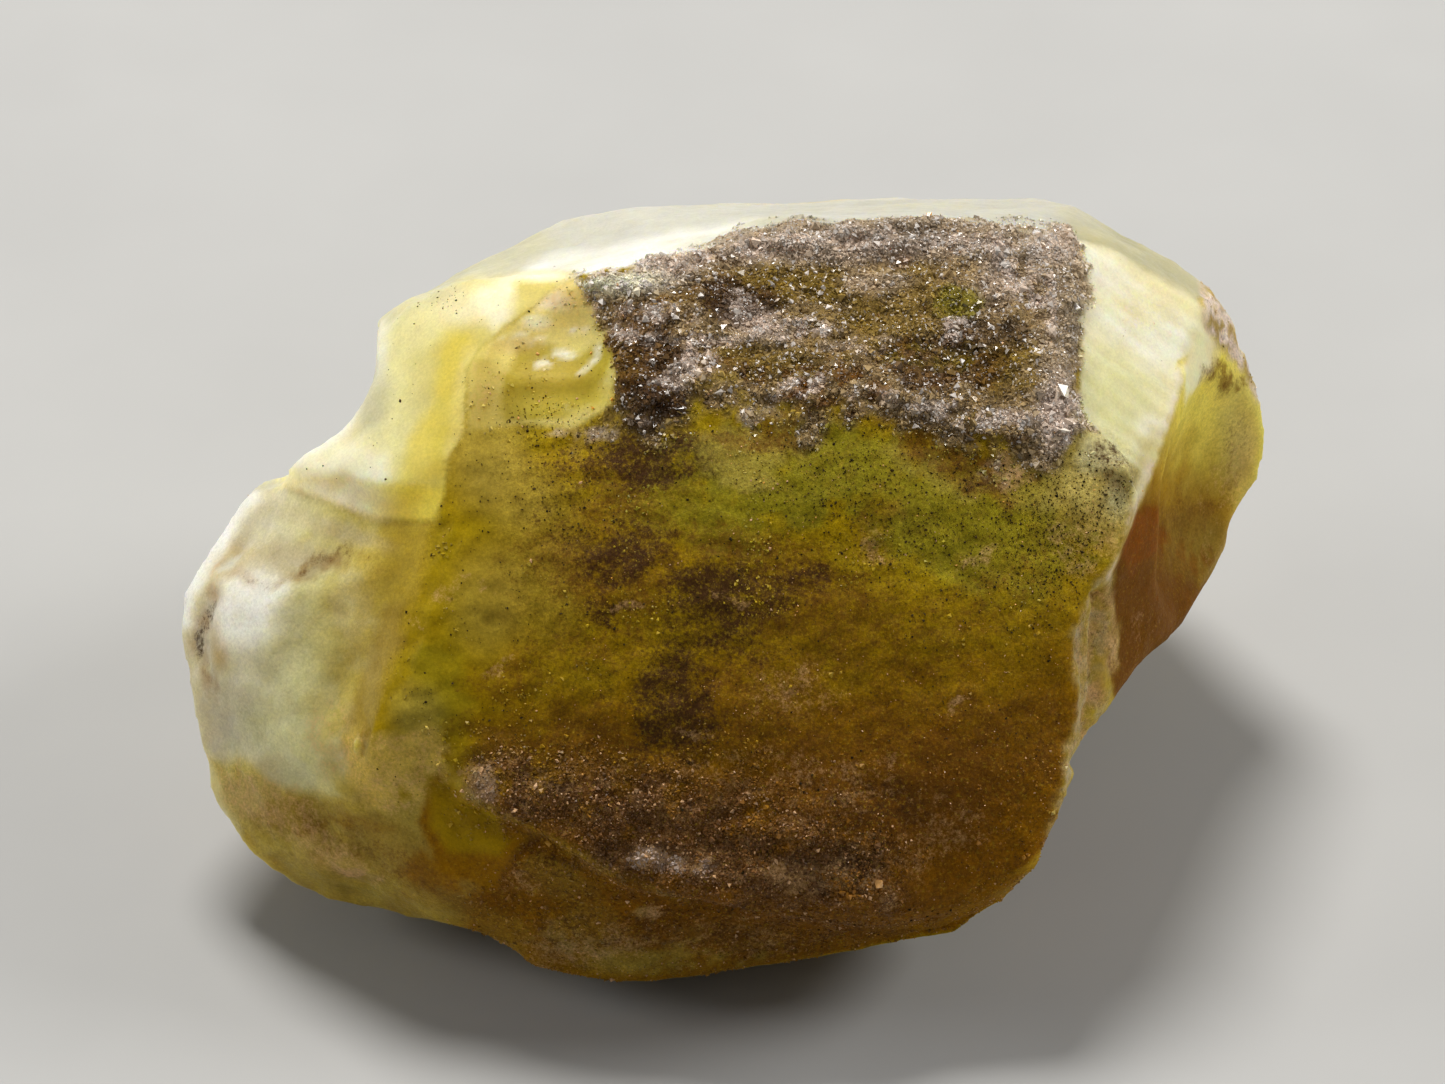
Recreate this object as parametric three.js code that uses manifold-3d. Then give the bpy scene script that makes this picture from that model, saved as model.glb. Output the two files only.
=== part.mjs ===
// Datolite crystal: one broken and partly crusted crystal, made as one solid.
// Millimetres, +Z up, standing on its flat resting face at z = 0.
// The origin is under the middle of its box.
import * as THREE from "three";
import { ConvexGeometry } from "three/addons/geometries/ConvexGeometry.js";
import { SimplexNoise } from "three/addons/math/SimplexNoise.js";
import { mergeVertices } from "three/addons/utils/BufferGeometryUtils.js";
import Module from "manifold-3d";

const wasm = await Module();
wasm.setup();

// The forms are laid out in the crystal's own frame: x along its length, y up its main face and z out of it.
const LEAN = THREE.MathUtils.degToRad(50); // how far that frame is turned about x, to lie as the crystal does
const REST_HEIGHT = 8.5; // the frame's origin above the resting face
const GROUND = 60; // a block larger than the crystal, which cuts the resting face

// The main face is a gentle dome: its height at the middle, and how fast it falls along x, up y and down y.
const DOME = { height: 6.0, alongX: 0.011, upY: 0.032, downY: 0.016 };
const FACE_RISE = 0.4; // the main face above the layer under it
const CRUST_RISE = 0.35; // the crust above the main face
const CRUST_LIP = 0.1; // how far the crust laps up y, past the main face
const LOW_CRUST_RISE = 0.2;
const LAYER_DEPTH = 8; // how deep the main face and the crusts reach into the body, more than DOME.height

function domeHeight(x, y) {
  return DOME.height - DOME.alongX * x * x - (y > 0 ? DOME.upY : DOME.downY) * y * y;
}

// The body's outline as it is seen along z, and its depth.
const BODY = [
  // near edge of the top face, left to right
  [-4.4, 8.6, 2.8], [-1.0, 9.3, 2.9], [2.1, 10.1, 2.5], [6.2, 10.2, 2.1], [9.2, 9.9, 1.7],
  // far edge of the top face
  [-4.7, 10.6, -5.0], [-3.5, 10.9, -6.0], [7.3, 11.4, -6.6], [9.0, 11.3, -6.0],
  // upper left outline
  [-7.6, 9.0, -3.0], [-9.5, 7.7, -1.6], [-8.9, 7.9, 0.6],
  // right outline, downwards
  [9.7, 10.9, -3.0], [11.4, 10.1, -3.5], [13.0, 9.3, -3.5], [13.7, 8.6, -3.0], [14.3, 7.7, -3.5],
  [14.8, 6.5, -4.0], [15.2, 5.1, -4.5], [15.6, 4.0, -5.0], [15.3, 3.1, -5.2], [14.7, 1.9, -5.6],
  [14.2, 0.8, -6.0], [13.7, -0.1, -6.0], [12.9, -0.8, -5.8],
  // the pale facet: its left side and its outer ridge
  [9.5, 8.0, 2.5], [9.2, 5.2, 3.7], [11.0, 3.2, 4.0], [12.5, 5.7, 0.9], [13.5, 8.1, -1.4],
  [13.9, 6.9, -1.8], [11.4, 3.0, 2.8], [10.9, 1.4, 3.6], [10.2, 0.3, 4.0], [9.6, -4.2, 3.8],
  // lower edge, right to left
  [8.8, -6.8, 3.0], [8.6, -7.3, 2.4], [6.9, -8.5, 2.2], [6.1, -9.5, 1.8], [2.1, -10.1, 1.6],
  [-0.7, -10.6, 1.4], [-3.2, -10.9, 1.2], [-5.4, -10.4, 1.4], [-7.4, -9.3, 1.2],
  // the knob's outline, upwards
  [-9.3, -9.1, -0.2], [-10.7, -8.6, -0.8], [-12.1, -8.3, -1.0], [-13.3, -7.5, -1.0], [-14.1, -5.9, -0.8],
  [-14.8, -3.1, -0.2], [-15.2, 0.1, -0.5], [-14.3, 1.3, -0.6], [-13.6, 2.4, -0.8],
  // the knob's front
  [-12.8, 0.2, 2.2], [-11.0, 0.0, 3.4], [-13.4, -3.6, 1.6], [-11.5, -4.6, 2.9], [-12.6, -6.4, 0.9],
  [-9.4, -7.8, 2.2], [-7.0, -8.4, 3.0], [-10.8, 2.6, 2.4],
  // behind
  [12.0, 6.0, -10.0], [3.0, 8.5, -10.5], [-5.0, 7.0, -9.0], [-9.0, 1.0, -8.5], [-7.5, -3.0, -10.0],
  [9.5, 0.0, -12.0], [2.0, -2.0, -12.5], [2.0, -8.0, -4.5], [7.5, -6.0, -5.0], [-6.0, -7.5, -5.0],
  [-13.0, 1.0, -4.0], [-12.0, -5.0, -4.5],
];

// Rows of points on the layer under the main face: [y, lowest x, highest x].
const CORE_ROWS = [
  [8.0, -3.0, 8.0], [4.6, -6.2, 8.6], [1.2, -7.6, 9.2], [-2.2, -8.4, 9.0], [-5.4, -8.2, 8.6],
  [-7.6, -5.6, 7.0],
];
// Rows of points on the dome, past the main face's edges.
const DOME_ROWS = [
  [10.6, -8.0, 11.0], [8.0, -9.5, 11.5], [5.2, -10.5, 12.0], [2.4, -11.0, 12.0], [-0.4, -11.0, 12.0],
  [-3.4, -11.0, 12.0], [-6.4, -10.5, 11.5], [-9.4, -10.0, 11.0],
];
const ROW_STEPS = 6;
// Corners inside the body, which give the dome its depth.
const DOME_FOOT = [[-8, 9, -2], [9, 9, -2], [-8, -8, -2], [9, -8, -2]];

function rowPoints(rows, lower) {
  return rows.flatMap(([y, left, right]) =>
    Array.from({ length: ROW_STEPS + 1 }, (_, i) => {
      const x = left + ((right - left) * i) / ROW_STEPS;
      return [x, y, domeHeight(x, y) - lower];
    }),
  );
}

// The main face's outline, clockwise from the top of its left ridge.
const FACE_OUTLINE = [
  [-5.9, 7.1], [-4.1, 8.5], [-1.2, 9.1], [2.0, 9.6], [6.1, 9.7], [9.1, 9.3], [9.8, 7.9], [9.4, 6.6],
  [9.4, 5.2], [9.7, 4.3], [11.0, 3.3], [11.2, 2.6], [10.7, 1.2], [10.2, 0.1], [9.5, -1.3], [9.7, -2.8],
  [9.6, -3.8], [9.3, -4.8], [9.0, -6.0], [8.8, -7.2], [7.4, -8.4], [4.8, -9.1], [2.1, -8.9], [-0.7, -8.4],
  [-2.8, -8.0], [-4.4, -7.0], [-5.0, -6.5], [-7.2, -5.8], [-7.7, -4.8], [-8.3, -5.6], [-9.1, -5.7],
  [-9.9, -4.9], [-9.9, -4.0], [-9.6, -3.2], [-9.1, -2.3], [-8.7, -1.4], [-8.4, 0.0], [-7.9, 1.6],
  [-7.6, 3.1], [-7.0, 4.3], [-7.0, 6.0],
];

// The crust's outline over the top of the main face.
const CRUST_OUTLINE = [
  [-4.1, 8.7], [-1.4, 9.1], [0.4, 9.7], [2.1, 10.0], [6.2, 10.1], [9.1, 9.7], [9.8, 7.9], [9.4, 6.6],
  [9.3, 5.2], [9.8, 4.0], [11.0, 3.4], [11.1, 2.6], [9.6, 3.9], [7.6, 3.8], [5.2, 4.6], [3.3, 4.9],
  [1.2, 4.8], [-0.7, 5.2], [-2.5, 4.6], [-4.4, 4.2], [-5.6, 4.1], [-4.4, 4.8], [-3.3, 5.4], [-3.2, 6.3],
  [-3.5, 7.2],
];

// The second crust, along the bottom of the main face.
const LOW_CRUST_OUTLINE = [
  [-7.2, -4.4], [-5.4, -4.4], [-3.6, -5.0], [-1.5, -5.0], [0.6, -5.6], [3.0, -5.4], [4.4, -6.4],
  [5.0, -7.8], [4.2, -8.8], [2.1, -8.8], [-0.7, -8.3], [-2.8, -7.9], [-4.4, -6.9], [-5.2, -6.4],
  [-6.8, -5.7],
];

// The chipped shoulder between the knob and the top.
const SHOULDER = [
  // its outline, from the top round the left
  [-4.2, 8.6, 2.9], [-5.8, 8.7, 2.6], [-7.4, 8.6, 1.8], [-8.8, 7.9, 1.2], [-9.4, 6.9, 0.6], [-9.9, 5.4, 0.6],
  [-10.8, 4.2, 0.8], [-12.4, 3.3, 0.2],
  // upper and lower edges of the ledge where it ends
  [-11.8, 3.2, 1.9], [-10.6, 3.0, 3.2], [-9.2, 2.9, 4.2], [-7.9, 2.9, 5.0],
  [-12.5, 2.8, 0.5], [-11.0, 2.4, 2.2], [-9.7, 2.1, 3.2], [-8.1, 1.8, 4.6],
  // the ridge beside the main face, and behind
  [-7.2, 5.2, 4.4], [-6.0, 7.2, 3.8], [-4.6, 8.0, 3.5], [-6.4, 3.0, 4.9], [-5.6, 5.6, 4.4], [-6.0, 1.0, 2.0],
  [-5.0, 3.0, -4.0], [-4.0, 8.0, -4.0],
  [-11.0, 2.0, -4.0],
];

// Rounded bites out of the surface, as conchoidal breaks leave them: [centre, radii].
const SCARS = [
  [[-13.0, 6.6, -0.5], [3.5, 3.5, 9.0]], // above the knob
  [[-8.9, -14.1, 1.0], [5.2, 5.2, 10.0]], // between the knob and the lower edge
  [[12.9, -7.6, -1.0], [4.7, 4.6, 14.0]], // two below the broken right end
  [[14.3, -5.6, -2.0], [4.7, 4.7, 14.0]],
  [[16.2, 1.7, -5.5], [1.8, 1.6, 4.0]], // the notch in the right end
  [[18.7, 1.6, 0.6], [7.0, 7.0, 7.0]], // the hollow of the amber right face
  [[-5.2, 5.5, 6.8], [3.4, 3.0, 2.3]], // the smooth scar left of the crust
  [[-5.1, 7.6, 6.0], [3.4, 2.4, 2.4]], // the pale scar above it
  [[-4.0, 9.0, -16.0], [9.0, 9.0, 7.0]], // three on the back
  [[11.0, 1.0, -14.5], [5.5, 6.0, 5.5]],
  [[-12.5, -1.0, -10.5], [5.0, 5.0, 5.5]],
];

// How long an edge may be, and the unevenness laid over the surface: size and reach of each smooth noise.
const FRONT = { edge: 1.7, size: 0.16, reach: 4.5 };
const BACK = { edge: 2.4 };
const CRUST = { edge: 0.85, size: 0.17, reach: 0.9 };
const KNOB = { from: -7.5, full: -10.5, edge: 1.3, size: 0.2, reach: 2.4 };
const SAME_POINT = 1e-4; // points nearer than this are one
const SMALL_SCAR = 4; // a scar whose radii are all below this is cut with fewer facets

function vector([x, y, z]) {
  return new THREE.Vector3(x, y, z);
}

// A closed geometry as a solid that can be joined and cut.
function solid(geometry) {
  const bare = geometry.index ? geometry.toNonIndexed() : geometry.clone();
  bare.deleteAttribute("normal");
  bare.deleteAttribute("uv");
  const merged = mergeVertices(bare, SAME_POINT);
  return new wasm.Manifold(
    new wasm.Mesh({
      numProp: 3,
      vertProperties: merged.attributes.position.array,
      triVerts: new Uint32Array(merged.index.array),
    }),
  );
}

function hull(points) {
  return solid(new ConvexGeometry(points.map(vector)));
}

// A solid's surface as a geometry.
function surface(made) {
  const mesh = made.getMesh();
  return new THREE.BufferGeometry()
    .setAttribute("position", new THREE.BufferAttribute(new Float32Array(mesh.vertProperties), 3))
    .setIndex(new THREE.BufferAttribute(new Uint32Array(mesh.triVerts), 1));
}

function prism(outline) {
  const shape = new THREE.Shape(outline.map(([x, y]) => new THREE.Vector2(x, y)));
  return solid(new THREE.ExtrudeGeometry(shape, { depth: LAYER_DEPTH, bevelEnabled: false }));
}

// Splits every edge longer than lengthAt(its middle), alike in both of its triangles.
function refine(geometry, lengthAt) {
  const position = geometry.toNonIndexed().attributes.position;
  const corners = [];
  const split = (a, b, c) => {
    let most = 1;
    let cut = null;
    for (const [p, q, r] of [[a, b, c], [b, c, a], [c, a, b]]) {
      const middle = p.clone().add(q).multiplyScalar(0.5);
      const excess = p.distanceTo(q) / lengthAt(middle);
      if (excess > most) {
        most = excess;
        cut = [p, q, r, middle];
      }
    }
    if (!cut) {
      corners.push(...a.toArray(), ...b.toArray(), ...c.toArray());
      return;
    }
    const [p, q, r, middle] = cut;
    split(p, middle, r);
    split(middle, q, r);
  };
  const corner = (i) => new THREE.Vector3().fromBufferAttribute(position, i);
  for (let i = 0; i < position.count; i += 3) split(corner(i), corner(i + 1), corner(i + 2));
  const divided = new THREE.BufferAttribute(new Float32Array(corners), 3);
  return new THREE.BufferGeometry().setAttribute("position", divided);
}

// A repeatable source of numbers from 0 to 1.
function randomFrom(seed) {
  let state = seed;
  return () => {
    state = (state * 16807) % 2147483647;
    return (state - 1) / 2147483646;
  };
}

const noise = new SimplexNoise({ random: randomFrom(20) });

// A smooth random shift at a point, of this size and reach.
function shift(point, { size, reach }) {
  const apart = 37; // keeps the three directions' noises unlike
  const [x, y, z] = point.clone().divideScalar(reach).toArray();
  return vector([
    noise.noise3d(x + apart, y, z),
    noise.noise3d(x, y + apart, z),
    noise.noise3d(x, y, z + apart),
  ]).multiplyScalar(size);
}

// Whether a point lies on a crust, which stands above the main face's dome.
function onCrust({ x, y, z }) {
  return z > domeHeight(x, y) + LOW_CRUST_RISE / 3;
}

function edgeLimit(point) {
  if (onCrust(point)) return CRUST.edge;
  if (point.z < 0) return BACK.edge;
  return point.x < KNOB.from ? KNOB.edge : FRONT.edge;
}

// The solid's surface, divided finely and made uneven, most of all on the crusts and the knob.
function weathered(made) {
  const divided = refine(surface(made), edgeLimit);
  const position = divided.attributes.position;
  for (let i = 0; i < position.count; i++) {
    const point = new THREE.Vector3().fromBufferAttribute(position, i);
    const lumpy = 1 - THREE.MathUtils.smoothstep(point.x, KNOB.full, KNOB.from);
    const moved = point.clone().add(shift(point, FRONT));
    moved.addScaledVector(shift(point, KNOB), lumpy);
    if (onCrust(point)) moved.add(shift(point, CRUST));
    position.setXYZ(i, ...moved.toArray());
  }
  return divided;
}

function ellipsoid([centre, radii]) {
  const detail = Math.max(...radii) > SMALL_SCAR ? 4 : 3;
  return solid(new THREE.IcosahedronGeometry(1, detail).scale(...radii).translate(...centre));
}

const dome = hull([...rowPoints(DOME_ROWS, 0), ...DOME_FOOT]);
const layers = [
  hull([...BODY, ...rowPoints(CORE_ROWS, FACE_RISE)]),
  hull(SHOULDER),
  dome.intersect(prism(FACE_OUTLINE)),
  dome.translate([0, CRUST_LIP, CRUST_RISE]).intersect(prism(CRUST_OUTLINE)),
  dome.translate([0, 0, LOW_CRUST_RISE]).intersect(prism(LOW_CRUST_OUTLINE)),
];
let body = layers.reduce((whole, layer) => whole.add(layer));
// Dividing the surface first keeps the scars' edges clear of long slivers.
body = solid(refine(surface(body), edgeLimit));
for (const scar of SCARS) body = body.subtract(ellipsoid(scar));

// Stand it up, cut the resting face, and bring the middle of its box over the origin.
const stand = new THREE.Matrix4().makeRotationX(LEAN).setPosition(0, 0, REST_HEIGHT);
const ground = solid(new THREE.BoxGeometry(GROUND, GROUND, GROUND).translate(0, 0, -GROUND / 2));
const geometry = surface(solid(weathered(body).applyMatrix4(stand)).subtract(ground));
geometry.computeBoundingBox();
const middle = geometry.boundingBox.getCenter(new THREE.Vector3());
geometry.translate(-middle.x, -middle.y, 0);

const crystal = new THREE.Mesh(
  geometry,
  new THREE.MeshStandardMaterial({ color: 0x9c8a2a, roughness: 0.35, metalness: 0 }),
);
crystal.name = "crystal";

const part = new THREE.Group();
part.add(crystal);
export default part;
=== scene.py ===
"""Looks for the datolite crystal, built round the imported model.

Points are in millimetres in the crystal's own frame (x along its length, y up its main face, z out of that
face) until a mesh is made, which is in metres in the model's frame.
"""
import math
from itertools import product

import bmesh
import bpy
import numpy as np
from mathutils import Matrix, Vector


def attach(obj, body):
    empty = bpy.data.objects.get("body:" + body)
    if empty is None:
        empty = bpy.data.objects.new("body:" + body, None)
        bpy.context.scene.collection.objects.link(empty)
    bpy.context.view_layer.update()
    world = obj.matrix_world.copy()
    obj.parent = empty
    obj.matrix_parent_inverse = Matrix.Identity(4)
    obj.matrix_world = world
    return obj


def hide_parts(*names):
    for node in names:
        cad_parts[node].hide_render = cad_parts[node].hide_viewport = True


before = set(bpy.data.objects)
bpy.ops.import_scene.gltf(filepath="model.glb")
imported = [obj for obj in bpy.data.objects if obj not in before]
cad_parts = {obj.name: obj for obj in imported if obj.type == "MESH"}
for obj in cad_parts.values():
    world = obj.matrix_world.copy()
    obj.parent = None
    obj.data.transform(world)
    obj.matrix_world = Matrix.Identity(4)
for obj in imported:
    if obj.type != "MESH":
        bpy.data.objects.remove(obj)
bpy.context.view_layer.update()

MM = 0.001
LEAN = math.radians(50)  # how far the own frame is turned about x from the model's
ORIGIN = np.array([-0.1817, -1.9671, 8.5])  # the crystal's own frame in the model's, in mm
AXES = np.array(
    [[1, 0, 0], [0, math.cos(LEAN), math.sin(LEAN)], [0, -math.sin(LEAN), math.cos(LEAN)]]
)
VIEW_DISTANCE = 167.25  # from the camera to ORIGIN, in mm
PX_PER_MM = 36.0  # at ORIGIN, in the photograph
CENTRE_PX = (725.0, 590.0)  # ORIGIN in the photograph
PHOTO_SIZE = (1445, 1084)


def to_own(points):
    return (points / MM - ORIGIN) @ AXES.T


def to_model(points):
    return (points @ AXES + ORIGIN) * MM


def seen_at(points):
    """Where points show in the photograph, in its pixels."""
    nearness = 1 - points[:, 2:] / VIEW_DISTANCE
    return CENTRE_PX + PX_PER_MM * points[:, :2] * (1, -1) / nearness


# ---- noise


def ramp(low, high, value):
    """0 up to low, 1 from high on, and eased in between."""
    t = np.clip((value - low) / (high - low), 0, 1)
    return t * t * (3 - 2 * t)


def shuffled(table, cell):
    """A number from the table for each cell of space."""
    i = cell & 255
    return table[(table[(table[i[:, 0]] + i[:, 1]) & 255] + i[:, 2]) & 255]


def noise(points, reach, seed, octaves=3):
    """Gradient noise of about -1 to 1. Each octave has half the reach and half the size of the one before."""
    rng = np.random.default_rng(seed)
    table = rng.permutation(256)
    slopes = rng.normal(size=(256, 3))
    slopes /= np.linalg.norm(slopes, axis=1, keepdims=True)
    total = np.zeros(len(points))
    size = 1.0
    for octave in range(octaves):
        place = points / (reach * 0.5**octave) + 19.7 * octave
        cell = np.floor(place).astype(int)
        part = place - cell
        ease = part**3 * (part * (part * 6 - 15) + 10)
        for corner in product((0, 1), repeat=3):
            slope = slopes[shuffled(table, cell + corner)]
            weight = np.prod(np.where(np.array(corner) == 1, ease, 1 - ease), axis=1)
            total += size * 1.5 * weight * np.sum(slope * (part - corner), axis=1)
        size *= 0.5
    return total


def nearest_spot(points, reach, seed):
    """Distance to the nearest of many scattered spots, in units of reach."""
    rng = np.random.default_rng(seed)
    table = rng.permutation(256)
    offsets = rng.random((256, 4))[:, :3]
    place = points / reach
    cell = np.floor(place).astype(int)
    nearest = np.full(len(points), np.inf)
    for step in product((-1, 0, 1), repeat=3):
        spot = cell + step + offsets[shuffled(table, cell + step)]
        nearest = np.minimum(nearest, np.linalg.norm(spot - place, axis=1))
    return nearest


# ---- masks in the photograph's plane


def inside(at, outline, soft):
    """1 inside an outline, 0 outside, with an edge that is soft pixels wide."""
    corners = np.array(outline, float)
    away = np.full(len(at), 1e9)
    odd = np.zeros(len(at), bool)
    for a, b in zip(corners, np.roll(corners, -1, axis=0)):
        away = np.minimum(away, distance_to(at, a, b))
        if a[1] != b[1]:
            crosses = (a[1] > at[:, 1]) != (b[1] > at[:, 1])
            odd ^= crosses & (at[:, 0] < (b[0] - a[0]) * (at[:, 1] - a[1]) / (b[1] - a[1]) + a[0])
    return ramp(-soft, soft, np.where(odd, away, -away))


def distance_to(at, a, b):
    along = b - a
    t = np.clip((at - a) @ along / max(along @ along, 1e-9), 0, 1)
    return np.linalg.norm(at - a - t[:, None] * along, axis=1)


def near_line(at, line, width, soft):
    """1 within width pixels of a line, 0 past width + soft."""
    corners = np.array(line, float)
    away = np.min([distance_to(at, a, b) for a, b in zip(corners, corners[1:])], axis=0)
    return 1 - ramp(width, width + soft, away)


def blob(at, centre, radii, turn=0.0):
    """1 at the middle of an ellipse, 0.5 near its edge, 0 outside. turn is in degrees, clockwise as seen."""
    offset = at - np.array(centre, float)
    c, s = math.cos(math.radians(turn)), math.sin(math.radians(turn))
    along = (offset[:, 0] * c + offset[:, 1] * s) / radii[0]
    across = (-offset[:, 0] * s + offset[:, 1] * c) / radii[1]
    return 1 - ramp(0.35, 1.35, np.hypot(along, across))


# outlines and lines in the photograph, in its pixels
CRUST = [
    (572, 278), (600, 273), (642, 269), (700, 249), (740, 232), (790, 216), (850, 212), (950, 210),
    (1005, 215), (1066, 224), (1084, 262), (1088, 300), (1080, 340), (1074, 385), (1082, 425), (1096, 448),
    (1090, 474), (1040, 486), (960, 490), (850, 470), (780, 470), (640, 490), (545, 460), (575, 432),
    (614, 412), (617, 372), (606, 330),
]
CRUST_RIM = [(640, 272), (700, 262), (745, 246), (808, 238), (850, 235), (950, 234), (1005, 237), (1060, 241)]
CRUST_FOOT = [
    (540, 425), (600, 425), (650, 440), (700, 405), (740, 402), (780, 425), (850, 412), (900, 425),
    (960, 445), (1010, 462), (1060, 452), (1100, 446),
]
LOW_CRUST = [
    (455, 755), (520, 742), (600, 765), (700, 790), (800, 800), (880, 840), (905, 890), (850, 925),
    (760, 915), (700, 905), (640, 885), (600, 865), (560, 835), (500, 822), (478, 800),
]
LEFT_RIDGE = [
    (443, 486), (436, 521), (425, 555), (415, 590), (405, 610), (400, 645), (385, 675), (370, 710),
    (362, 735), (360, 765), (390, 800), (420, 795),
]
MAIN_FACE = [
    (510, 325), (480, 350), (467, 370), (465, 430), (447, 460), (445, 480), (435, 520), *LEFT_RIDGE[2:],
    (445, 765), (480, 800), (545, 830), (620, 870), (700, 905), (800, 940), (900, 945), (1000, 890),
    (1055, 835), (1062, 790), (1080, 720), (1078, 650), (1090, 600), (1118, 545), (1130, 500), (1140, 470),
    (1100, 440), (1075, 420), (1080, 330), (1060, 225), (850, 210), (700, 245), (575, 275),
]
SHOULDER = [
    (440, 282), (520, 272), (578, 272), (512, 322), (480, 348), (467, 370), (465, 430), (447, 462),
    (443, 486), (310, 480), (270, 486), (350, 400), (380, 305),
]
SCAR = [
    (476, 352), (512, 324), (575, 277), (590, 300), (604, 330), (616, 370), (612, 406), (575, 428),
    (520, 424), (470, 430), (467, 370),
]
TERRACE = [(282, 484), (310, 479), (445, 487), (436, 521), (378, 519), (350, 509), (325, 499)]
LOW_LEFT = [
    (205, 765), (250, 765), (285, 790), (320, 800), (400, 800), (450, 790), (500, 850), (498, 900),
    (470, 930), (440, 925), (330, 905), (240, 850),
]
WEDGE = [(440, 770), (462, 800), (500, 815), (542, 830), (505, 858), (497, 892), (440, 870), (420, 820)]
BOTTOM = [
    (497, 860), (545, 832), (620, 872), (700, 905), (800, 925), (900, 925), (1000, 880), (1060, 840),
    (960, 960), (700, 1000), (560, 990), (450, 930),
]
PALE_FACET = [
    (1062, 226), (1085, 230), (1150, 262), (1205, 292), (1215, 335), (1178, 362), (1180, 385), (1165, 430),
    (1150, 468), (1130, 510), (1120, 512), (1124, 490), (1135, 472), (1100, 440), (1078, 420), (1060, 380),
    (1060, 340), (1060, 300), (1060, 262),
]
RIGHT_FACE = [
    (1198, 300), (1240, 300), (1290, 450), (1250, 560), (1120, 740), (1105, 640), (1105, 585), (1118, 545),
    (1150, 470), (1180, 385), (1178, 362), (1215, 335),
]
BROKEN_EDGE = [
    (1102, 578), (1108, 600), (1107, 660), (1099, 720), (1084, 765), (1060, 810), (1050, 830), (1056, 790),
    (1076, 720), (1078, 668), (1068, 635), (1085, 608),
]
# painted glows, where light shines back from inside the shoulder: at its foot and at its top corner
WHITE_GLOW = [(292, 478), (310, 456), (345, 442), (386, 450), (392, 484), (376, 492), (352, 491), (320, 486)]
GLOW_CORNER = [(474, 284), (500, 275), (518, 275), (514, 318), (500, 325), (484, 318), (472, 300)]
LEMON_BAND = [
    (440, 326), (470, 330), (476, 350), (464, 372), (462, 430), (446, 458), (443, 484), (402, 484),
    (410, 440), (437, 402),
]
SCAR_BOWL = [
    (496, 380), (520, 352), (550, 347), (575, 354), (592, 346), (608, 338), (612, 375), (598, 402),
    (560, 420), (505, 422),
]
# painted glints along the ripples of the scar
SCAR_GLINT_LINES = [
    [(578, 372), (588, 366), (596, 356), (598, 348)], [(505, 338), (516, 334), (528, 337)],
    [(532, 346), (540, 342), (548, 344)], [(575, 332), (584, 328), (592, 331)],
    [(520, 300), (534, 294), (548, 296)], [(536, 366), (546, 364)], [(556, 408), (568, 410)],
]
PALE_CORNER = [(1056, 440), (1145, 450), (1138, 515), (1110, 540), (1056, 500)]
OLIVE_WEDGE = [(430, 790), (448, 772), (458, 800), (500, 818), (512, 842), (498, 856), (450, 850), (432, 826)]
RIGHT_HIGHLIGHT = [(1180, 366), (1196, 330), (1214, 318), (1224, 345), (1216, 372), (1190, 396), (1182, 398)]
RIGHT_RIM = [(1200, 280), (1250, 290), (1285, 400), (1262, 410), (1240, 366), (1226, 350), (1214, 322)]
LOW_EDGE = [(760, 915), (830, 930), (900, 930), (960, 915), (1000, 885)]
LOW_CRUST_TOP = [(440, 765), (470, 750), *LOW_CRUST[1:5], (880, 830), (910, 880)]
KNOB_RIM = [(184, 620), (184, 592), (200, 565), (218, 545), (232, 515), (250, 497)]
KNOB_GROOVE = [(222, 566), (245, 578), (272, 585), (300, 579), (322, 566), (345, 563)]
KNOB_CREVICE = [(212, 598), (201, 615), (200, 640), (205, 662), (214, 690)]
FACET_TOP = [(1070, 226), (1137, 260), (1205, 299)]
FACET_RIDGE = [
    (1181, 372), (1176, 395), (1165, 430), (1150, 468), (1142, 490), (1130, 512), (1118, 545), (1106, 578),
]
RIDGE_TOP = [(470, 352), (463, 380), (459, 430), (450, 452)]
RIDGE_FOOT = [(398, 620), (388, 655), (376, 695), (362, 745)]
SHOULDER_RIM = [(388, 310), (372, 380), (360, 402), (330, 438), (300, 462)]
TOP_LEFT_RIM = [(392, 306), (420, 290), (456, 266), (500, 256), (530, 240)]
CRUST_SIDE = [(1066, 224), (1084, 262), (1086, 300), (1078, 340), (1074, 385), (1080, 425)]
TERRACE_STEP = [(282, 486), (325, 502), (350, 511), (378, 521), (436, 524)]
WEDGE_SIDE = [(545, 834), (520, 850), (505, 862), (497, 892)]
# veins along the broken edge, from the left
EDGE_VEINS = [
    [(1074, 632), (1088, 680), (1080, 740), (1062, 790)],
    [(1094, 596), (1096, 640), (1098, 690), (1086, 740)],
    [(1110, 592), (1108, 660), (1098, 705)],
]
EDGE_GAP = [(1099, 596), (1098, 640), (1099, 690), (1090, 730), (1077, 765)]


def rgb(r, g, b):
    """A linear colour from its sRGB bytes."""
    c = np.array([r, g, b]) / 255
    return np.where(c <= 0.04045, c / 12.92, ((c + 0.055) / 1.055) ** 2.4)


WHITE = rgb(248, 246, 232)
MILK = rgb(228, 224, 200)
BONE = rgb(214, 206, 174)
BEIGE = rgb(204, 190, 150)
# a tone kept for painted highlights and glints
IVORY_HIGHLIGHT = rgb(250, 244, 216)
CREAM = rgb(244, 234, 190)
SAGE = rgb(196, 192, 158)
DIM_GREEN = rgb(176, 170, 132)
DIM_WHITE = rgb(188, 186, 170)
PALE_GREEN = rgb(222, 218, 164)
BUTTER = rgb(236, 220, 134)
STRAW = rgb(214, 200, 116)
GREEN_CREAM = rgb(234, 228, 168)
LEMON = rgb(228, 208, 88)
BRIGHT_LEMON = rgb(242, 222, 92)
LEMON_WHITE = rgb(255, 242, 190)
SCAR_YELLOW = rgb(188, 168, 58)
OCHRE = rgb(192, 162, 44)
MUSTARD = rgb(186, 158, 46)
OLIVE = rgb(172, 142, 8)
PALE_OLIVE = rgb(174, 156, 66)
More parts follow.
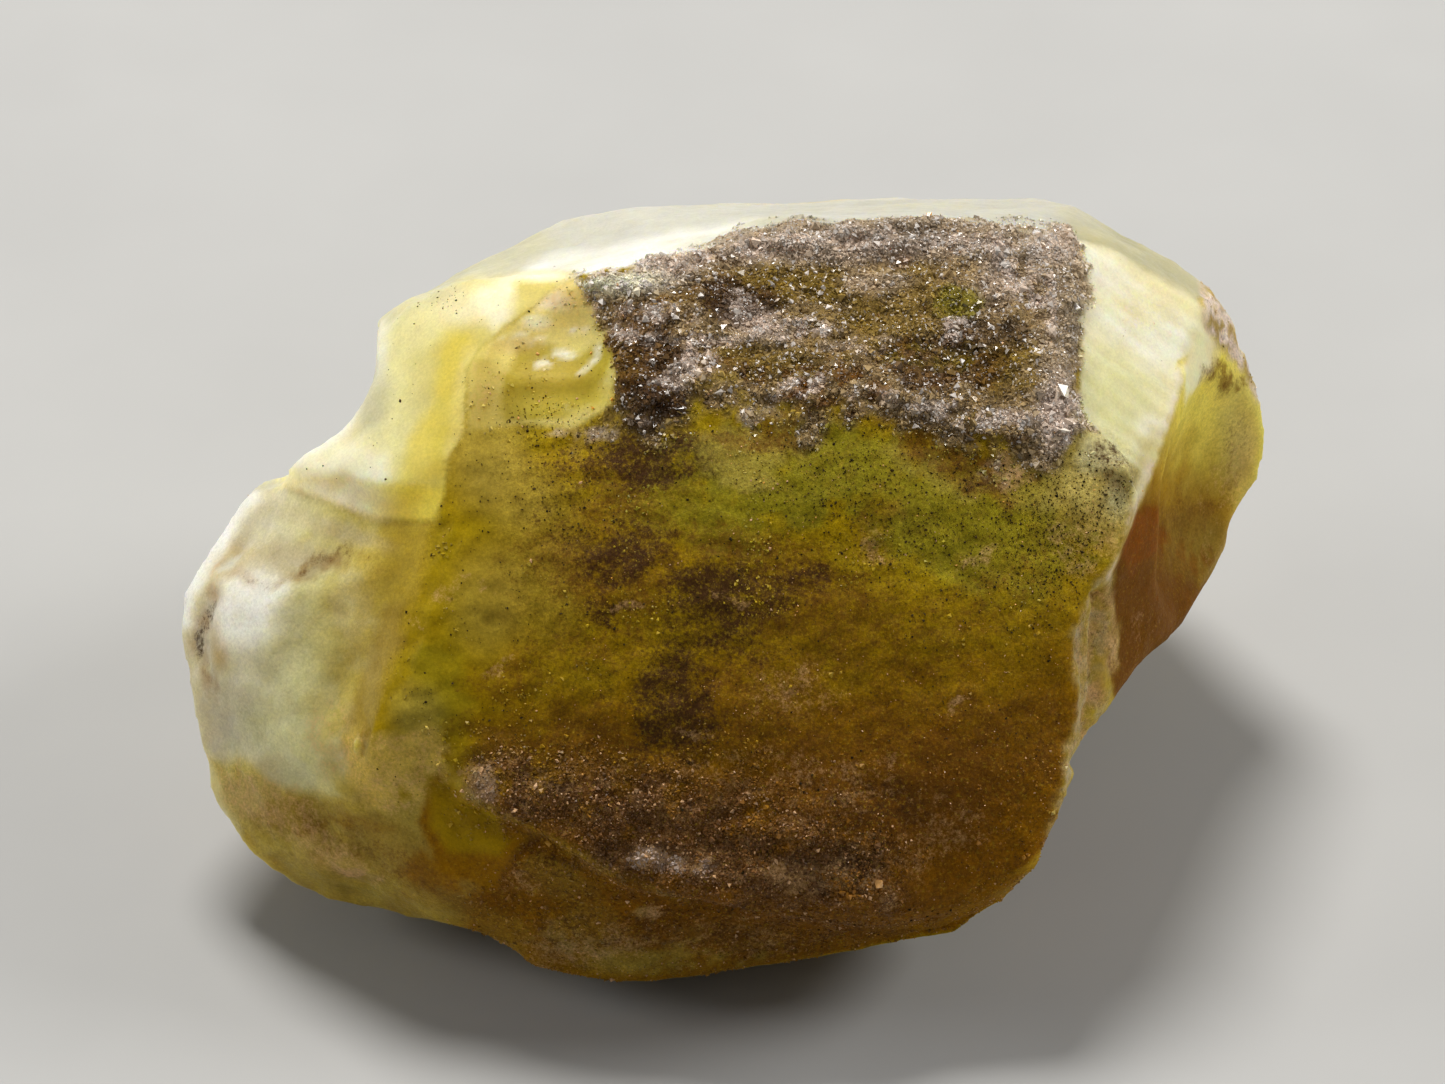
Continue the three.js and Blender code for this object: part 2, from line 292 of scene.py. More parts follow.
GREEN = rgb(149, 138, 28)
BRASS = rgb(188, 164, 70)
BRONZE = rgb(150, 122, 44)
AMBER = rgb(158, 112, 4)
TAN = rgb(182, 154, 92)
HONEY = rgb(226, 196, 92)
PINKISH = rgb(206, 164, 112)
ORANGE = rgb(140, 92, 4)
RUST = rgb(134, 82, 4)
DEEP_RUST = rgb(108, 66, 2)
RED_BROWN = rgb(128, 68, 4)
KHAKI = rgb(224, 204, 120)
# a painted glow: light shining back from inside the crystal
PAINTED_GLOW = rgb(250, 242, 206)
BROWN = rgb(112, 72, 22)
DARK_BROWN = rgb(70, 44, 24)
SMEAR = rgb(158, 122, 64)
DUST = rgb(170, 144, 100)
SAND = rgb(198, 178, 150)
SHELL = rgb(232, 212, 196)
LOW_BROWN = rgb(112, 74, 34)
# tones for whitish grains, partly a painted sparkle
ICE = rgb(240, 230, 220)
WARM_ICE = rgb(224, 178, 128)

# ---- the body's mesh

VOXEL = 0.162  # mm
SAME_POINT = 1e-6  # m


def add_object(name, data):
    obj = bpy.data.objects.new(name, data)
    bpy.context.scene.collection.objects.link(obj)
    return obj


def remeshed(source, voxel):
    """The CAD solid as an even mesh, in the crystal's own frame: points, and faces of four."""
    work = bmesh.new()
    work.from_mesh(source.data)
    bmesh.ops.remove_doubles(work, verts=work.verts, dist=SAME_POINT)
    bmesh.ops.scale(work, vec=(1 / MM,) * 3, verts=work.verts)
    mesh = bpy.data.meshes.new("remesh_work")
    work.to_mesh(mesh)
    work.free()
    obj = add_object("remesh_work", mesh)
    modifier = obj.modifiers.new("voxels", "REMESH")
    modifier.mode = "VOXEL"
    modifier.voxel_size = voxel
    bpy.context.view_layer.update()
    made = obj.evaluated_get(bpy.context.evaluated_depsgraph_get()).to_mesh()
    points = np.zeros(len(made.vertices) * 3)
    made.vertices.foreach_get("co", points)
    faces = np.array([list(p.vertices) for p in made.polygons], int)
    bpy.data.objects.remove(obj)
    bpy.data.meshes.remove(mesh)
    return to_own(points.reshape(-1, 3) * MM), faces


def normals_of(points, faces):
    face = np.cross(points[faces[:, 2]] - points[faces[:, 0]], points[faces[:, 3]] - points[faces[:, 1]])
    total = np.zeros_like(points)
    for axis in range(3):
        total[:, axis] = np.bincount(faces.ravel(), np.repeat(face[:, axis], 4), len(points))
    return total / np.maximum(np.linalg.norm(total, axis=1, keepdims=True), 1e-12)


def smoothed(points, faces, rounds):
    """Values at the points, each moved halfway to its neighbours' mean in every round."""
    a = faces.ravel()
    b = np.roll(faces, -1, axis=1).ravel()
    count = np.bincount(a, minlength=len(points)) + np.bincount(b, minlength=len(points))
    values = points.reshape(len(points), -1)
    total = np.zeros_like(values)
    for _ in range(rounds):
        for k, value in enumerate(values.T):
            total[:, k] = np.bincount(a, value[b], len(points)) + np.bincount(b, value[a], len(points))
        values = values + 0.5 * (total / count[:, None] - values)
    return values.reshape(points.shape)


points, faces = remeshed(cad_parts["crystal"], VOXEL)
points = smoothed(points, faces, 3)
normals = normals_of(points, faces)
# how far a point stands out of its surroundings, in mm: edges are above 0, hollows below
edge = np.sum((points - smoothed(points, faces, 30)) * normals, axis=1)

at = seen_at(points)
at_x, at_y = at.T
# steps that are rounded away, as the crusts thin out where they end: line, width, softness, amount
ROUNDED = [
    (CRUST_FOOT, 12, 24, 1), (LOW_CRUST_TOP, 12, 24, 1), (LOW_EDGE, 12, 24, 1),
    (LEFT_RIDGE, 10, 30, 1), (CRUST_SIDE, 6, 22, 0.6), (TERRACE_STEP, 10, 26, 0.8),
]
ends = np.max([amount * near_line(at, line, width, soft) for line, width, soft, amount in ROUNDED], axis=0)
points += (ends * (normals[:, 2] > 0))[:, None] * (smoothed(points, faces, 80) - points)
normals = normals_of(points, faces)
facing = smoothed(normals[:, 2], faces, 4)

# ---- what each place is made of

wander = np.stack([noise(points, 1.6, 1, 3), noise(points, 1.6, 2, 3)], axis=1)
rough_at = at + 9 * wander
rough_x, rough_y = rough_at.T
n_large = noise(points, 5.0, 11, 3)
n_zone = noise(points, 3.2, 18, 4)
n_mid = noise(points, 1.8, 12, 4)
n_torn = noise(points, 0.9, 14, 4)
n_small = noise(points, 0.6, 13, 3)
n_clump = noise(points, 0.42, 15, 2)
n_fine = noise(points, 0.3, 16, 1)

front = ramp(-0.45, 0, facing + 0.2 * np.abs(n_mid))
upward = ramp(0.62, 0.80, normals[:, 1])
rightward = ramp(0.22, 0.42, smoothed(normals[:, 0], faces, 2))
above_foot = np.interp(at_x, *zip(*CRUST_FOOT)) - at_y
crust = inside(rough_at + 7 * np.stack([n_clump, n_fine], axis=1), CRUST, 5) * front
crust *= 1 - ramp(0.88, 0.98, normals[:, 1])
crust *= ramp(-16, 16, above_foot + 34 * n_torn)
low_crust = inside(rough_at + 16 * wander, LOW_CRUST, 30) * front
main = inside(at, MAIN_FACE, 3) * front * (1 - upward)
shoulder = inside(at, SHOULDER, 4) * front
scar = inside(at, SCAR, 4) * front
facet = inside(at, PALE_FACET, 3) * front * (1 - upward) * ramp(0.1, 0.3, normals[:, 0])
right = inside(at, RIGHT_FACE, 3) * front
bottom = inside(rough_at, BOTTOM, 14) * front

# what the painting starts from
START = {
    "stain": 0.25,  # brown mottling
    # whitish frosted grains, with a painted sparkle on them
    "frost": 0.0,  # whitish sparkling grains
    "grit": 0.0,  # roughness of a crust
    "depth": 0.8,  # how far light goes in
    "matte": 0.0,  # how dull it is
    "brown": 0.0,  # cover of brown flecks
    "dark": 0.0,  # cover of dark flecks
    "pale": 0.0,  # cover of pinkish flecks
}
surface = {"tint": np.tile(OCHRE, (len(points), 1))}
surface |= {name: np.full(len(points), value) for name, value in START.items()}
BARE = {"grit": 0, "frost": 0, "brown": 0, "dark": 0, "pale": 0}  # with nothing on it


def torn(shape, by=n_torn):
    """A soft shape with a ragged edge instead."""
    return ramp(0.2, 0.8, shape + 0.6 * by + 0.25 * n_fine) * ramp(0.02, 0.4, shape)


def paint(amount, look=None, **values):
    """Moves the surface by amount towards a colour and towards the values given."""
    amount = np.clip(amount, 0, 1)
    if look is not None:
        surface["tint"] += amount[:, None] * (look - surface["tint"])
    for name, value in values.items():
        surface[name] += amount * (value - surface[name])


def spots(rows):
    """Centre, radii, turn and amount. Each row: x, y, both radii, amount, and the turn where it isn't 0."""
    for x, y, wide, high, amount, *turn in rows:
        yield (x, y), (wide, high), sum(turn), amount


SMALL = 20  # the radius, in pixels, below which a patch is torn more finely


def patches(place, look, rows):
    """Ragged patches of one colour in one place."""
    for centre, radii, turn, amount in spots(rows):
        small = min(radii) < SMALL
        shape = torn(blob(rough_at, centre, radii, turn), n_clump if small else n_torn)
        paint(shape * place * amount * (ramp(-0.4, 0.3, n_fine) if small else 1), look)


def flecks(place, kind, rows):
    """Spots where flecks of one kind lie close in one place."""
    for centre, radii, turn, amount in spots(rows):
        paint(blob(at + 22 * wander, centre, radii, turn) * place * amount, **{kind: 1})


def glows(place, look, rows):
    """Soft patches of one colour in one place."""
    for centre, radii, turn, amount in spots(rows):
        paint(blob(at, centre, radii, turn) * place * amount, look)


def stroke(line, width, soft, amount, look, rough=0, place=front, **values):
    """Paints along a line in one place. rough is how far, in pixels, the stroke wanders off the line."""
    paint(near_line(at + rough * wander, line, width, soft) * place * amount, look, **values)


def mark(place, table):
    """Paints a table of spots in one place. Each entry: how, its colour or kind, and its rows."""
    for how, look, rows in table:
        how(place, look, rows)


# the hidden side: zoned from milky to amber along its length, stained, with a thin crust low on the back
height = points @ AXES[:, 2] + ORIGIN[2]
paint(ramp(-0.6, 0.6, n_large + 0.1) * 0.9, STRAW, stain=0.4)
paint(ramp(0, 0.9, n_mid) * 0.6, MUSTARD)
paint(ramp(-5, -13, points[:, 0] + 2 * n_zone), MILK)
paint(ramp(5, 13, points[:, 0] + 2 * n_zone) * 0.8, AMBER)
paint(ramp(9, 3, height + 2 * n_large) * 0.7, BRASS, stain=0.6)
paint(ramp(0, 0.7, noise(points, 2.2, 19, 4)) * 0.8, pale=0.5, dark=0.3)
stained = n_zone + 0.35 * n_torn + 0.6 * ramp(8, 1, height) - 0.1
paint(ramp(-0.1, 0.7, stained), BRONZE, brown=0.7, stain=0.8)
back_crust = ramp(0.55, 1.0, stained) * (1 - front)
paint(back_crust, LOW_BROWN, grit=0.7, depth=0.2, stain=1, frost=0.3, dark=0.3, pale=0.4)
paint(back_crust * ramp(-0.1, 0.4, n_mid) * 0.7, DUST)

# the seen side, from the left: the milky knob, which turns yellow towards the ridge
paint(front, BONE, stain=0.16, depth=0.8, **BARE)
paint(ramp(225, 330, rough_x + 0.15 * (at_y - 600)) * front, PALE_GREEN)
paint(ramp(265, 370, rough_x) * front, STRAW)
paint(ramp(300, 400, rough_x + 0.12 * (at_y - 620)) * front, MUSTARD, stain=0.3)
paint(ramp(560, 470, at_y) * ramp(330, 250, at_x) * front * 0.5, BONE)
left_end = ramp(420, 330, at_x)
paint(ramp(0, 0.6, n_mid) * left_end * front * 0.35, BEIGE)
paint(ramp(0.1, 0.6, noise(points, 1.0, 17, 3)) * left_end * front * 0.35, PALE_GREEN)
KNOB_COLOURS = [
    (glows, BEIGE, [
        (268, 560, 70, 24, 0.8), (225, 690, 26, 40, 0.15), (250, 775, 50, 24, 0.7),
        (330, 528, 60, 12, 0.6, 18), (215, 600, 16, 20, 0.5),
    ]),
    (glows, TAN, [(222, 642, 13, 30, 0.9), (222, 558, 22, 26, 0.6, 20), (222, 600, 12, 20, 0.6)]),
    (glows, PALE_GREEN, [(275, 722, 34, 26, 0.8), (300, 760, 26, 40, 0.6, -20), (345, 755, 16, 24, 0.6)]),
    (glows, WHITE, [(248, 610, 38, 44, 1, 20), (262, 590, 30, 16, 0.8)]),
]
mark(front, KNOB_COLOURS)
stroke(KNOB_RIM, 2, 15, 1, WHITE)
smears = ramp(-0.7, 0.5, n_small)
stroke(KNOB_GROOVE, 0, 12, 0.4 * smears, SMEAR, rough=9)
KNOB_FLECKS = [
    (patches, SMEAR, [(306, 572, 36, 12, 0.6, -12), (345, 556, 20, 7, 0.4, -30)]),
    (flecks, "brown", [(308, 570, 30, 10, 0.5, -12), (345, 556, 20, 7, 0.45, -30), (275, 582, 40, 6, 0.25)]),
    (flecks, "dark", [(204, 640, 12, 32, 0.75), (210, 606, 12, 8, 0.4)]),
    (flecks, "pale", [(250, 800, 60, 30, 0.5, 10), (330, 740, 30, 40, 0.35), (215, 580, 10, 30, 0.4)]),
]
mark(front, KNOB_FLECKS)
stroke(KNOB_CREVICE, 3, 16, 0.6 * smears, SMEAR, rough=9, brown=0.5)

# the low left
paint(inside(rough_at, LOW_LEFT, 8) * front, BRASS, stain=0.5)
LOW_LEFT_SPOTS = [
    (glows, STRAW, [(235, 790, 44, 34, 0.6, 30), (300, 870, 50, 14, 0.25, 28), (395, 900, 44, 12, 0.2, 10)]),
    (patches, TAN, [(325, 850, 46, 26, 0.4, 30), (240, 800, 34, 24, 0.3), (370, 876, 22, 9, 0.6, -15)]),
    (patches, BRONZE, [(390, 840, 60, 30, 0.6), (440, 880, 50, 30, 0.9, 20), (290, 820, 50, 20, 0.5)]),
    (patches, AMBER, [(440, 870, 40, 26, 0.8, 20), (345, 825, 50, 10, 0.4)]),
    (flecks, "brown", [
        (290, 825, 60, 24, 0.25, 20), (440, 880, 60, 30, 0.5, 20), (360, 850, 70, 30, 0.3, 20),
    ]),
    (flecks, "pale", [
        (320, 845, 60, 24, 0.45, 30), (400, 800, 50, 14, 0.4, -10), (380, 885, 16, 8, 0.6, -20),
        (355, 868, 12, 8, 0.8, -30),
    ]),
    (patches, BRONZE, [(350, 890, 90, 24, 0.5, 20), (430, 905, 50, 24, 0.5, 10)]),
]
mark(front, LOW_LEFT_SPOTS)

# the top, which is white at the left and greyer to the right and the back
TOP_END = -5.0  # how far back it reaches, in mm
top = upward * ramp(TOP_END - 3, TOP_END, points[:, 2] + 1.2 * n_zone)
paint(top, WHITE, stain=0.03, depth=0.9, **BARE)
paint(top * ramp(1.5, -1.5, points[:, 2] + 0.8 * n_zone) * 0.85, DIM_WHITE)
paint(top * ramp(680, 790, at_x + 40 * n_mid) * 0.9, DIM_WHITE)
paint(top * ramp(1040, 1120, at_x + 20 * n_mid), DIM_GREEN)
paint(top * ramp(540, 500, at_x) * 0.8, SAGE)
paint(top * ramp(0, 0.8, n_zone) * 0.5, SAGE)

# the shoulder
paint(shoulder, STRAW, stain=0.05)
paint(ramp(450, 385, at_x) * shoulder * 0.9, GREEN_CREAM)
SHOULDER_CREAM = [(450, 304, 60, 24, 1), (330, 460, 60, 40, 0.6, -30)]
glows(shoulder, CREAM, SHOULDER_CREAM)
paint(inside(at + 5 * wander, LEMON_BAND, 9) * front * 0.8, LEMON)
# painted shade along the ridge's foot, against the light its edge catches
stroke(RIDGE_FOOT, 10, 16, 0.6, BRONZE)
stroke(RIDGE_TOP, 2, 12, 0.7, BUTTER, place=shoulder)
stroke(SHOULDER_RIM, 2, 14, 0.7, WHITE)
stroke(TOP_LEFT_RIM, 8, 22, 0.9, SAGE, place=1)
paint(shoulder * ramp(0, 0.7, n_mid) * 0.3, STRAW)
SHOULDER_GREY = [(372, 400, 20, 40, 0.8, 10)]
glows(shoulder, SAGE, SHOULDER_GREY)
# painted glows of light shining back from inside the shoulder, at its foot and at its top corner
paint(inside(at + 5 * wander, WHITE_GLOW, 9) * front, PAINTED_GLOW)
paint(inside(rough_at, GLOW_CORNER, 8) * front, PAINTED_GLOW)
# a painted glow along the shoulder's top edge, and a green cream patch
SHOULDER_GLOWS = [
    (glows, PAINTED_GLOW, [(540, 276, 34, 8, 0.9)]),
    (glows, GREEN_CREAM, [(420, 325, 44, 26, 0.7, -20)]),
]
mark(shoulder, SHOULDER_GLOWS)
terrace = inside(at, TERRACE, 5)
paint(terrace * front, BRIGHT_LEMON, stain=0.1)
# a painted glow on the terrace's left end, where light comes through it
paint(terrace * ramp(410, 350, at_x) * front, PAINTED_GLOW)
# a painted shadow line under the terrace's step
stroke(TERRACE_STEP, 1, 5, 0.2, BRONZE, rough=2)

# the pale facet
paint(facet, CREAM, stain=0.03, depth=0.8, grit=0, frost=0)
FACET_GREEN = [(1110, 400, 60, 66, 0.9, 20), (1120, 470, 40, 30, 0.5)]
glows(facet, PALE_GREEN, FACET_GREEN)
stroke(FACET_TOP, 2, 10, 0.8, DIM_GREEN)
# on the facet: a straw patch low down, and ivory painted highlights where it catches the light
FACET_SPOTS = [
    (glows, STRAW, [(1154, 452, 14, 34, 0.5, 15)]),
    (glows, IVORY_HIGHLIGHT, [
        (1100, 268, 50, 22, 1, 30), (1165, 345, 34, 30, 1, -30), (1120, 330, 40, 14, 0.8, 35),
        (1150, 425, 16, 12, 0.7),
    ]),
]
mark(facet, FACET_SPOTS)
# on the facet's upper part: whitish grains, partly a painted sparkle
FACET_FROST_AND_SPARKLE = ((1150, 326), (56, 40), 30)
paint(blob(rough_at, *FACET_FROST_AND_SPARKLE) * facet, frost=0.6, grit=0.35)
stroke(FACET_RIDGE, 2, 7, 0.8 * smears, SHELL, rough=3)

# the main face and the scar in its corner
paint(main, OLIVE, stain=0.85, depth=0.22)
paint(ramp(560, 470, rough_x) * main, stain=0.35)
paint(scar, SCAR_YELLOW, stain=0.08, depth=0.7)
paint(scar * (1 - inside(rough_at, SCAR_BOWL, 5)) * 0.9, BUTTER)
# on the scar: brass and lemon patches, pinkish flecks, and ivory painted glints on its ripples
SCAR_SPOTS = [
    (glows, BRASS, [(486, 380, 18, 46, 0.6, 8), (545, 372, 44, 18, 0.8)]),
    (glows, LEMON, [(552, 404, 44, 14, 0.6), (604, 398, 14, 16, 0.6)]),
    (flecks, "pale", [(480, 385, 16, 46, 0.3, 8), (556, 292, 36, 14, 0.25)]),
    (glows, IVORY_HIGHLIGHT, [
        (524, 284, 26, 9, 0.9), (536, 322, 16, 8, 0.8), (564, 354, 13, 5, 1, 10), (548, 300, 26, 12, 0.7, 10),
    ]),
    (glows, PINKISH, [(552, 296, 36, 14, 0.4), (520, 345, 30, 10, 0.3)]),
]
mark(scar, SCAR_SPOTS)
# thin painted glints along the scar's ripples
for line in SCAR_GLINT_LINES:
    stroke(line, 0.5, 5, 0.8 * ramp(-0.4, 0.4, n_fine), IVORY_HIGHLIGHT, rough=5, place=scar)
paint(main * (1 - scar) * ramp(-0.5, 0.5, n_mid) * 0.25, GREEN)
MAIN_COLOURS = [
    (glows, BRASS, [
        (485, 450, 40, 60, 0.7, 10), (545, 560, 50, 90, 0.3), (515, 492, 40, 40, 0.5),
        (488, 600, 40, 60, 0.5), (912, 516, 30, 26, 0.5),
    ]),
    (patches, GREEN, [
        (800, 470, 160, 60, 1), (970, 520, 140, 80, 0.9, 20), (440, 690, 40, 50, 0.5),
        (690, 505, 100, 50, 0.9, 20),
    ]),
    (patches, PALE_OLIVE, [(745, 455, 60, 34, 0.8), (930, 470, 60, 22, 0.5, 30), (1040, 480, 70, 30, 0.5)]),
]
mark(main, MAIN_COLOURS)
far_left = ramp(520, 400, at_x)
low_down = ramp(590, 830, rough_y + 0.08 * (at_x - 700) + 30 * n_torn - 170 * far_left)
paint(low_down * main * 0.9, RUST, brown=0.45)
paint(inside(rough_at, PALE_CORNER, 26) * main * 0.65, KHAKI)
paint(ramp(980, 1060, at_x) * ramp(560, 700, at_y) * main * 0.6, AMBER)
MAIN_FLECKS = [
    (flecks, "brown", [
        (622, 478, 74, 50, 0.75, 20), (625, 575, 90, 66, 0.9, 10), (790, 600, 100, 56, 0.75),
        (740, 700, 90, 60, 0.7), (500, 680, 50, 22, 0.6), (560, 745, 130, 36, 0.7), (780, 430, 60, 22, 0.8),
        (930, 440, 80, 26, 0.9, 20), (985, 480, 50, 24, 0.8, 20), (1036, 462, 30, 18, 0.15),
        (875, 530, 24, 40, 0.5), (900, 640, 130, 50, 0.45), (1000, 600, 80, 40, 0.35),
        (900, 760, 170, 70, 0.6), (1110, 462, 24, 20, 0.3, 30), (640, 650, 120, 30, 0.4),
        (870, 800, 110, 60, 0.8), (700, 430, 60, 16, 0.5), (720, 545, 30, 22, 0.6), (1060, 545, 60, 50, 0.2),
        (760, 560, 50, 30, 0.4), (530, 560, 40, 70, 0.3, 10), (490, 762, 50, 24, 0.4),
        (1000, 740, 80, 60, 0.4),
    ]),
    (flecks, "dark", [
        (645, 450, 70, 46, 1), (622, 552, 64, 36, 0.85, 10), (728, 600, 64, 36, 0.95),
        (675, 700, 46, 64, 0.9), (610, 610, 26, 20, 0.7), (980, 480, 30, 16, 0.5, 30),
        (600, 700, 30, 16, 0.4), (556, 486, 34, 40, 0.35, 20), (860, 800, 70, 40, 0.5),
        (700, 640, 60, 30, 0.4), (800, 590, 50, 26, 0.6), (740, 640, 60, 16, 0.4, 20),
        (660, 760, 60, 20, 0.4),
    ]),
    (flecks, "pale", [
        (632, 612, 16, 8, 0.7), (448, 590, 12, 6, 0.4), (480, 598, 16, 7, 0.4), (735, 598, 16, 7, 0.6),
        (1010, 468, 14, 18, 0.7), (970, 562, 18, 8, 0.5), (960, 712, 22, 4, 0.6, -35),
        (875, 540, 12, 20, 0.45), (420, 618, 18, 6, 0.3), (790, 690, 50, 30, 0.3), (730, 770, 60, 30, 0.3),
        (500, 668, 16, 6, 0.4), (690, 722, 18, 9, 0.45), (850, 780, 90, 40, 0.3), (960, 820, 50, 30, 0.3),
        (900, 850, 80, 30, 0.3), (470, 770, 40, 14, 0.6), (1085, 540, 40, 40, 0.35),
    ]),
    # painted light that lifts the shade in the hollow at the ridge's foot
    (glows, PALE_OLIVE, [(416, 716, 30, 34, 0.7, -10)]),
]
mark(main, MAIN_FLECKS)
RIDGE_END = ((395, 765), (66, 44))
paint(torn(blob(rough_at, *RIDGE_END)) * front * 0.85, HONEY, stain=0.5, brown=0.15, pale=0.35)

CRUST_END = ((1110, 452), (34, 22), 30)
paint(blob(rough_at, *CRUST_END) * front * 0.8, PALE_GREEN, stain=0.2, grit=0.1, brown=0.2, dark=0.1)
CRUST_END_FLECKS = [
    (flecks, "dark", [(1113, 460, 18, 12, 0.7, 40)]),
    (flecks, "brown", [(1108, 464, 26, 14, 0.35, 30)]),
]
mark(front, CRUST_END_FLECKS)
MAIN_PALE = [(1120, 494, 16, 26, 0.6, 10), (1092, 460, 18, 16, 0.6)]
glows(main, PALE_GREEN, MAIN_PALE)

# below the main face: amber, painted darker as shade where the face turns down, and darker towards its lowest
# edge
paint(bottom, ORANGE, stain=1, depth=0.35, matte=1)
paint(ramp(900, 985, at_y) * bottom * 0.3, BRONZE)
BOTTOM_SPOTS = [
    (glows, AMBER, [(600, 970, 90, 20, 0.8, 5), (560, 900, 60, 40, 0.4), (950, 900, 70, 26, 0.9, -30)]),
    (glows, BRASS, [(625, 962, 50, 14, 0.6)]),
    (patches, TAN, [
        (610, 945, 60, 19, 0.5), (640, 915, 14, 9, 0.7), (560, 940, 30, 18, 0.5), (720, 940, 80, 14, 0.3, -5),
    ]),
    (flecks, "brown", [
        (520, 890, 60, 40, 0.5), (760, 930, 160, 24, 0.6, -3), (640, 910, 90, 40, 0.45, 15),
        (900, 910, 120, 30, 0.6, -20),
    ]),
    (flecks, "pale", [
        (610, 945, 60, 30, 0.3), (640, 915, 12, 9, 0.9), (740, 940, 80, 20, 0.25, -5),
        (560, 955, 50, 24, 0.4, 20), (520, 880, 20, 20, 0.4),
    ]),
    (patches, BRASS, [
        (560, 880, 40, 24, 0.3, 20), (500, 930, 50, 20, 0.2, 30), (680, 960, 90, 16, 0.5, -4),
        (590, 925, 40, 30, 0.2),
    ]),
    (flecks, "dark", [
        (540, 860, 60, 30, 0.45, 20), (560, 930, 60, 30, 0.4, 20), (700, 925, 120, 30, 0.4, 5),
        (850, 930, 90, 24, 0.4, -10),
    ]),
]
mark(bottom, BOTTOM_SPOTS)
stroke(WEDGE_SIDE, 1, 7, 0.7, BROWN)
paint(inside(at + 4 * wander, WEDGE, 4) * front, AMBER, stain=0.5, matte=1, brown=0.3)
paint(inside(at + 4 * wander, OLIVE_WEDGE, 5) * front * 0.85, OLIVE, stain=0.3, matte=1, brown=0.1)
paint(low_crust * ramp(-0.6, 0.1, n_torn) * 0.9, LOW_BROWN, grit=0.6, depth=0.15, stain=1, frost=0.1)
paint(low_crust, brown=0.35, dark=0.4, pale=0.3)
LOW_CRUST_SPOTS = [
    (patches, SHELL, [
        (482, 784, 26, 22, 0.45, 20), (655, 860, 34, 12, 0.6, 10), (690, 868, 22, 10, 0.5),
    ]),
    (flecks, "dark", [
        (855, 865, 54, 40, 1), (550, 790, 40, 16, 0.6, 20), (850, 884, 50, 14, 0.7), (760, 850, 60, 20, 0.5),
    ]),
    (flecks, "pale", [
        (480, 780, 26, 26, 0.8), (650, 862, 40, 10, 0.9, 10), (690, 870, 20, 14, 0.7),
        (800, 872, 60, 20, 0.4, 5), (880, 885, 16, 14, 0.8),
    ]),
]
mark(low_crust, LOW_CRUST_SPOTS)

# the crust
paint(crust, DUST, grit=1, depth=0.15, stain=0.8, frost=0.12, brown=0.15, dark=0.1, pale=0.15)
# paler along its top edge: a painted highlight where it tips up to the light, with whitish grains
paint(ramp(262, 238, at_y - 0.04 * (at_x - 800)) * crust * 0.85, SAND, frost=0.6)
paint(ramp(1020, 1070, rough_x) * crust * 0.7, SAND, frost=0.5)
CRUST_COLOURS = [
    (patches, BRONZE, [
        (800, 280, 80, 24, 0.9, 5), (900, 310, 66, 46, 0.75), (620, 365, 24, 56, 0.8),
        (770, 360, 80, 22, 0.8), (1000, 370, 50, 30, 0.9), (660, 300, 60, 14, 0.6), (830, 330, 60, 30, 0.4),
    ]),
    (patches, BROWN, [
        (640, 350, 50, 60, 0.7), (735, 296, 50, 24, 0.4, 20), (950, 365, 70, 34, 0.7, 10),
        (835, 374, 50, 14, 0.5), (790, 374, 50, 12, 0.6), (732, 368, 26, 12, 0.7), (820, 404, 60, 14, 0.7),
        (1000, 432, 40, 12, 0.7, 10), (825, 370, 40, 14, 0.7),
    ]),
    (patches, GREEN, [(958, 300, 24, 20, 0.8), (940, 355, 60, 14, 0.4)]),
    (patches, RUST, [(845, 388, 60, 18, 0.7), (660, 290, 40, 12, 0.4), (900, 262, 14, 10, 0.7)]),
    (patches, DARK_BROWN, [
        (738, 300, 50, 24, 0.8), (655, 405, 60, 34, 0.8), (985, 335, 46, 24, 0.6), (900, 240, 70, 20, 0.4),
        (625, 340, 30, 12, 0.5), (840, 395, 40, 10, 0.4), (960, 430, 70, 12, 0.5, 15),
        (674, 360, 44, 14, 0.6), (695, 402, 40, 14, 0.6), (940, 378, 50, 14, 0.5),
    ]),
]
mark(crust, CRUST_COLOURS)
# darker in the hollows between the crust's clumps: dark brown, partly painted shade
paint(crust * ramp(0.2, 0.6, n_clump) * 0.3, DARK_BROWN)
# frosted spots on the crust: whitish grains with a painted sparkle on the raised bits, shell-pale around them
FROSTED_AND_SPARKLING = [
    (625, 280, 70, 14, 1), (680, 262, 50, 10, 0.9, -15), (660, 312, 50, 12, 0.7, 10),
    (640, 335, 46, 10, 0.8, 10), (760, 320, 36, 10, 0.9, 35), (800, 328, 50, 9, 1),
    (720, 340, 46, 9, 0.8, -5), (705, 365, 22, 26, 1), (675, 378, 30, 12, 0.8, -10),
    (800, 385, 30, 12, 0.8, -20), (1012, 275, 24, 40, 1, -30), (1045, 250, 30, 24, 0.8),
    (965, 330, 18, 14, 0.9), (890, 396, 60, 10, 0.5, 8), (970, 416, 70, 14, 0.8, 8), (1065, 432, 18, 18, 1),
    (850, 345, 50, 12, 0.4, -10), (800, 240, 110, 14, 0.7, -6), (1060, 300, 22, 50, 0.8),
    (652, 858, 22, 6, 0.5), (600, 430, 50, 7, 0.6, -8), (1000, 468, 18, 16, 0.6), (760, 410, 30, 10, 0.6),
    (970, 245, 50, 12, 0.7), (745, 298, 16, 10, 0.9), (610, 312, 30, 10, 0.8), (1060, 405, 20, 26, 0.8),
    (1000, 412, 60, 10, 0.7, 5),
]
for centre, radii, turn, amount in spots(FROSTED_AND_SPARKLING):
    where = torn(blob(rough_at, centre, radii, turn)) * front * (1 - facet) * (1 - scar)
    paint(where * ramp(0.4, -0.2, n_clump) * amount, frost=1)
    paint(where * ramp(0.3, -0.2, n_clump) * amount * 0.8, SHELL)
